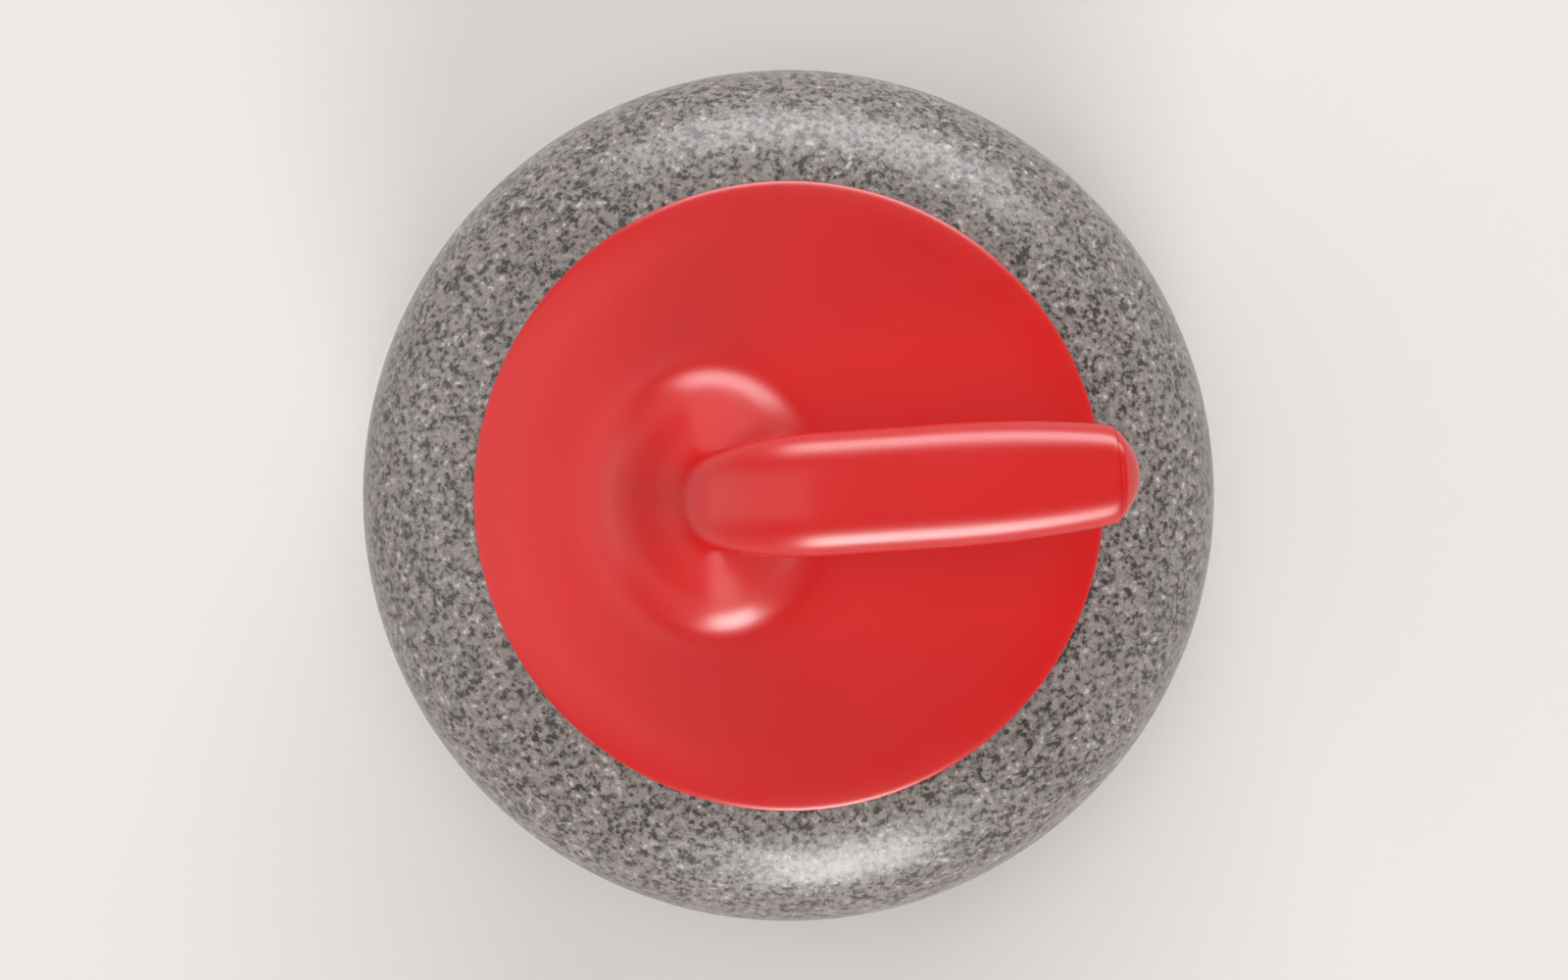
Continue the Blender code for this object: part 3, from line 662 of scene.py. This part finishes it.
def metal_material(name, colour, dark, roughness, turned=False):
    """Metal with mottled plating and turning or rolling marks."""
    t = Tree(name, colour, roughness, 1.0)
    blotch = t.noise(180.0, 4.0, 0.6)
    t.put(t.mix(t.span(blotch, 0.35, 0.75, 0.0, 0.7), colour, dark), "Base Color")
    wear = t.noise(600.0, 3.0, 0.6)
    t.put(t.span(wear, 0.3, 0.7, roughness * 0.75, roughness * 1.35), "Roughness")
    direction = (1.0, 1.0, 8.0) if turned else (0.15, 1.0, 1.0)
    t.bump(t.noise(900.0, 2.0, 0.6, t.stretch(direction)), 0.00003, 0.4)
    return t.material


def soft_material(name, colour, pale, roughness, grain):
    """Rubber, nylon or epoxy: small mottling, fine grain and an uneven sheen."""
    t = Tree(name, colour, roughness)
    mottling = t.span(t.noise(120.0, 4.0, 0.6), 0.35, 0.7, 0.0, 1.0)
    t.put(t.mix(mottling, colour, pale), "Base Color")
    sheen = t.noise(400.0, 3.0)
    t.put(t.span(sheen, 0.3, 0.7, roughness * 0.85, roughness * 1.15), "Roughness")
    t.bump(t.noise(grain, 2.0, 0.6), 0.00005, 0.5)
    return t.material


# ---------------------------------------------------------------------------------- the object
GRANITE = granite_material(
    "grey_granite",
    tint=(0.131, 0.116, 0.110),
    darkest=(0.032, 0.027, 0.024),
    lightest=(0.342, 0.323, 0.309),
)
HONE = granite_material(
    "hone_granite",
    tint=(0.135, 0.145, 0.16),
    darkest=(0.05, 0.053, 0.06),
    lightest=(0.3, 0.31, 0.33),
    band=False,
)
RED = red_plastic_material()
ZINC = metal_material("zinc_plated_steel", (0.62, 0.63, 0.65), (0.42, 0.43, 0.44), 0.28)
STEEL = metal_material("plain_steel", (0.46, 0.46, 0.47), (0.28, 0.27, 0.26), 0.38)
BRASS = metal_material("turned_brass", (0.72, 0.52, 0.22), (0.5, 0.33, 0.12), 0.26, turned=True)
EPOXY = soft_material("epoxy_bond", (0.10, 0.09, 0.08), (0.16, 0.15, 0.13), 0.45, 900.0)
NYLON = soft_material("nylon", (0.62, 0.60, 0.53), (0.74, 0.72, 0.65), 0.45, 1200.0)
RUBBER = soft_material("gasket_rubber", (0.018, 0.018, 0.018), (0.035, 0.034, 0.033), 0.75, 1500.0)


def dress(obj, look):
    obj.data.materials.clear()
    obj.data.materials.append(look)


def piece(obj, look, body, node):
    """Gives a mesh its material and body, in the place of one CAD node."""
    dress(obj, look)
    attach(obj, body)
    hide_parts(node)


def build_object():
    piece(lathe("granite_body", stone_profile(), 320), GRANITE, "stone", "stone_body")
    for side, turn in (("lower", list), ("upper", upside_down)):
        insert = lathe(side + "_insert_disc", turn(insert_profile()), 256)
        piece(insert, HONE, "stone", side + "_running_insert")
        bond = lathe(side + "_bond_line", turn(bond_profile()), 256)
        piece(bond, EPOXY, "stone", side + "_bond_ring")
    piece(build_shell(), RED, "handle", "handle_shell")
    piece(build_end_plug(), RED, "handle", "grip_end_plug")
    piece(build_bolt(), ZINC, "bolt", "through_bolt")
    piece(build_lock_washer(), STEEL, "stone", "bolt_lock_washer")
    flat = ring_piece("flat_steel_washer", "bolt_flat_washer", FLAT_WASHER)
    piece(flat, ZINC, "stone", "bolt_flat_washer")
    cushion = ring_piece("nylon_cushion_washer", "bolt_cushion_washer", CUSHION_WASHER, 0.4)
    piece(cushion, NYLON, "stone", "bolt_cushion_washer")
    gasket = ring_piece("rubber_seat_ring", "seat_gasket", GASKET, 0.5, 256)
    piece(gasket, RUBBER, "handle", "seat_gasket")
    piece(build_hub(), BRASS, "handle", "threaded_hub")
    for node in ("clamp_plate", "core_rod"):
        dress(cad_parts[node], STEEL)
    for node in ("core_rod_nut", "clamp_screw_1", "clamp_screw_2", "clamp_screw_3", "clamp_screw_4"):
        dress(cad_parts[node], ZINC)


# --------------------------------------------------------------------------------------- studio
ROLL = math.radians(-3.9)  # the camera's turn about the stone's axis
RIGHT = Vector((math.cos(ROLL), math.sin(ROLL), 0.0))
UP = Vector((-math.sin(ROLL), math.cos(ROLL), 0.0))
CAMERA_HEIGHT = 0.809
FLOOR_SIZE = 60.0
FLOOR_LEVEL = -0.0002
CEILING_SIZE = 6.0
CEILING_HEIGHT = 6.0
CEILING_WATTS = 195.0

# The studio dome's own light: (height, from 0 at the horizon to 1 straight up, brightness).
DOME = (
    (0.0, (0.72, 0.71, 0.70)),
    (0.4, (0.44, 0.44, 0.44)),
    (0.75, (0.19, 0.19, 0.19)),
    (1.0, (0.16, 0.16, 0.16)),
)

# Soft panels on the studio dome: (degrees round from the view's right, degrees from straight up,
# half width, half height, softness, brightness). The half sizes are sines of angles.
PANELS = (
    (82.0, 66.0, 0.47, 0.22, 0.05, (7.3, 7.5, 7.6)),
    (-82.0, 68.0, 0.22, 0.22, 0.05, (14.8, 14.7, 14.4)),
    (180.0, 46.0, 0.43, 0.60, 0.12, (0.95, 0.94, 0.92)),
    (0.0, 87.0, 0.60, 0.10, 0.08, (1.30, 1.28, 1.26)),
)


def add_panel(nodes, links, place, total, around, tilt, wide, high, soft, brightness):
    """Adds one soft-edged rectangle of light to the world's colour."""
    a, b = math.radians(around) + ROLL, math.radians(tilt)
    centre = Vector((math.sin(b) * math.cos(a), math.sin(b) * math.sin(a), math.cos(b)))
    side = Vector((-math.sin(a), math.cos(a), 0.0))
    mask = None
    for axis, size in ((side, wide), (centre.cross(side), high), (centre, 0.0)):
        along = nodes.new("ShaderNodeVectorMath")
        along.operation = "DOT_PRODUCT"
        links.new(place, along.inputs[0])
        along.inputs[1].default_value = axis
        value = along.outputs["Value"]
        edge = nodes.new("ShaderNodeMapRange")
        edge.interpolation_type = "SMOOTHSTEP"
        if size:
            positive = nodes.new("ShaderNodeMath")
            positive.operation = "ABSOLUTE"
            links.new(value, positive.inputs[0])
            value = positive.outputs[0]
            edge.inputs["From Min"].default_value = size + soft
            edge.inputs["From Max"].default_value = size - soft
        else:
            edge.inputs["From Max"].default_value = 0.1
        links.new(value, edge.inputs["Value"])
        if mask is None:
            mask = edge.outputs["Result"]
            continue
        product = nodes.new("ShaderNodeMath")
        product.operation = "MULTIPLY"
        links.new(mask, product.inputs[0])
        links.new(edge.outputs["Result"], product.inputs[1])
        mask = product.outputs[0]
    lit = nodes.new("ShaderNodeVectorMath")
    lit.operation = "SCALE"
    lit.inputs[0].default_value = brightness
    links.new(mask, lit.inputs["Scale"])
    summed = nodes.new("ShaderNodeVectorMath")
    links.new(total, summed.inputs[0])
    links.new(lit.outputs["Vector"], summed.inputs[1])
    return summed.outputs["Vector"]


def floor_material():
    t = Tree("pale_floor", (0.52, 0.49, 0.48), 0.85, 0.0, 1.3)
    t.put(t.mix(t.noise(9.0, 3.0, 0.5), (0.514, 0.486, 0.476), (0.520, 0.492, 0.481)), "Base Color")
    return t.material


def build_floor():
    bpy.ops.mesh.primitive_plane_add(size=FLOOR_SIZE, location=(0.0, 0.0, FLOOR_LEVEL))
    floor = bpy.context.active_object
    floor.name = "studio_floor"
    floor.data.materials.append(floor_material())


def build_dome():
    world = bpy.data.worlds.new("studio_world")
    bpy.context.scene.world = world
    world.use_nodes = True
    nodes = world.node_tree.nodes
    links = world.node_tree.links
    place = nodes.new("ShaderNodeTexCoord").outputs["Generated"]
    part = nodes.new("ShaderNodeSeparateXYZ")
    links.new(place, part.inputs[0])
    ramp = nodes.new("ShaderNodeValToRGB")
    stops = ramp.color_ramp.elements
    while len(stops) < len(DOME):
        stops.new(0.5)
    for stop, (height, colour) in zip(stops, DOME):
        stop.position = height
        stop.color = (*colour, 1.0)
    links.new(part.outputs["Z"], ramp.inputs["Fac"])
    total = ramp.outputs["Color"]
    for panel in PANELS:
        total = add_panel(nodes, links, place, total, *panel)
    links.new(total, nodes["Background"].inputs["Color"])


def build_ceiling():
    """A wide, soft light from above that shows in no reflection."""
    light = bpy.data.lights.new("ceiling_light", "AREA")
    light.shape = "DISK"
    light.size = CEILING_SIZE
    light.energy = CEILING_WATTS
    obj = bpy.data.objects.new("ceiling_light", light)
    obj.location = (0.0, 0.0, CEILING_HEIGHT)
    obj.visible_glossy = False
    obj.visible_camera = False
    bpy.context.scene.collection.objects.link(obj)


def build_camera():
    camera = bpy.data.cameras.new("camera")
    camera.lens = 50.0
    camera.sensor_width = 36.0
    camera.clip_start = 0.01
    obj = bpy.data.objects.new("camera", camera)
    place = RIGHT * -0.0015 + UP * 0.00185 + Vector((0.0, 0.0, CAMERA_HEIGHT))
    obj.matrix_world = Matrix.Translation(place) @ Matrix.Rotation(ROLL, 4, "Z")
    bpy.context.scene.collection.objects.link(obj)
    bpy.context.scene.camera = obj


build_object()
build_floor()
build_dome()
build_ceiling()
build_camera()
bpy.context.scene.view_settings.view_transform = "Standard"
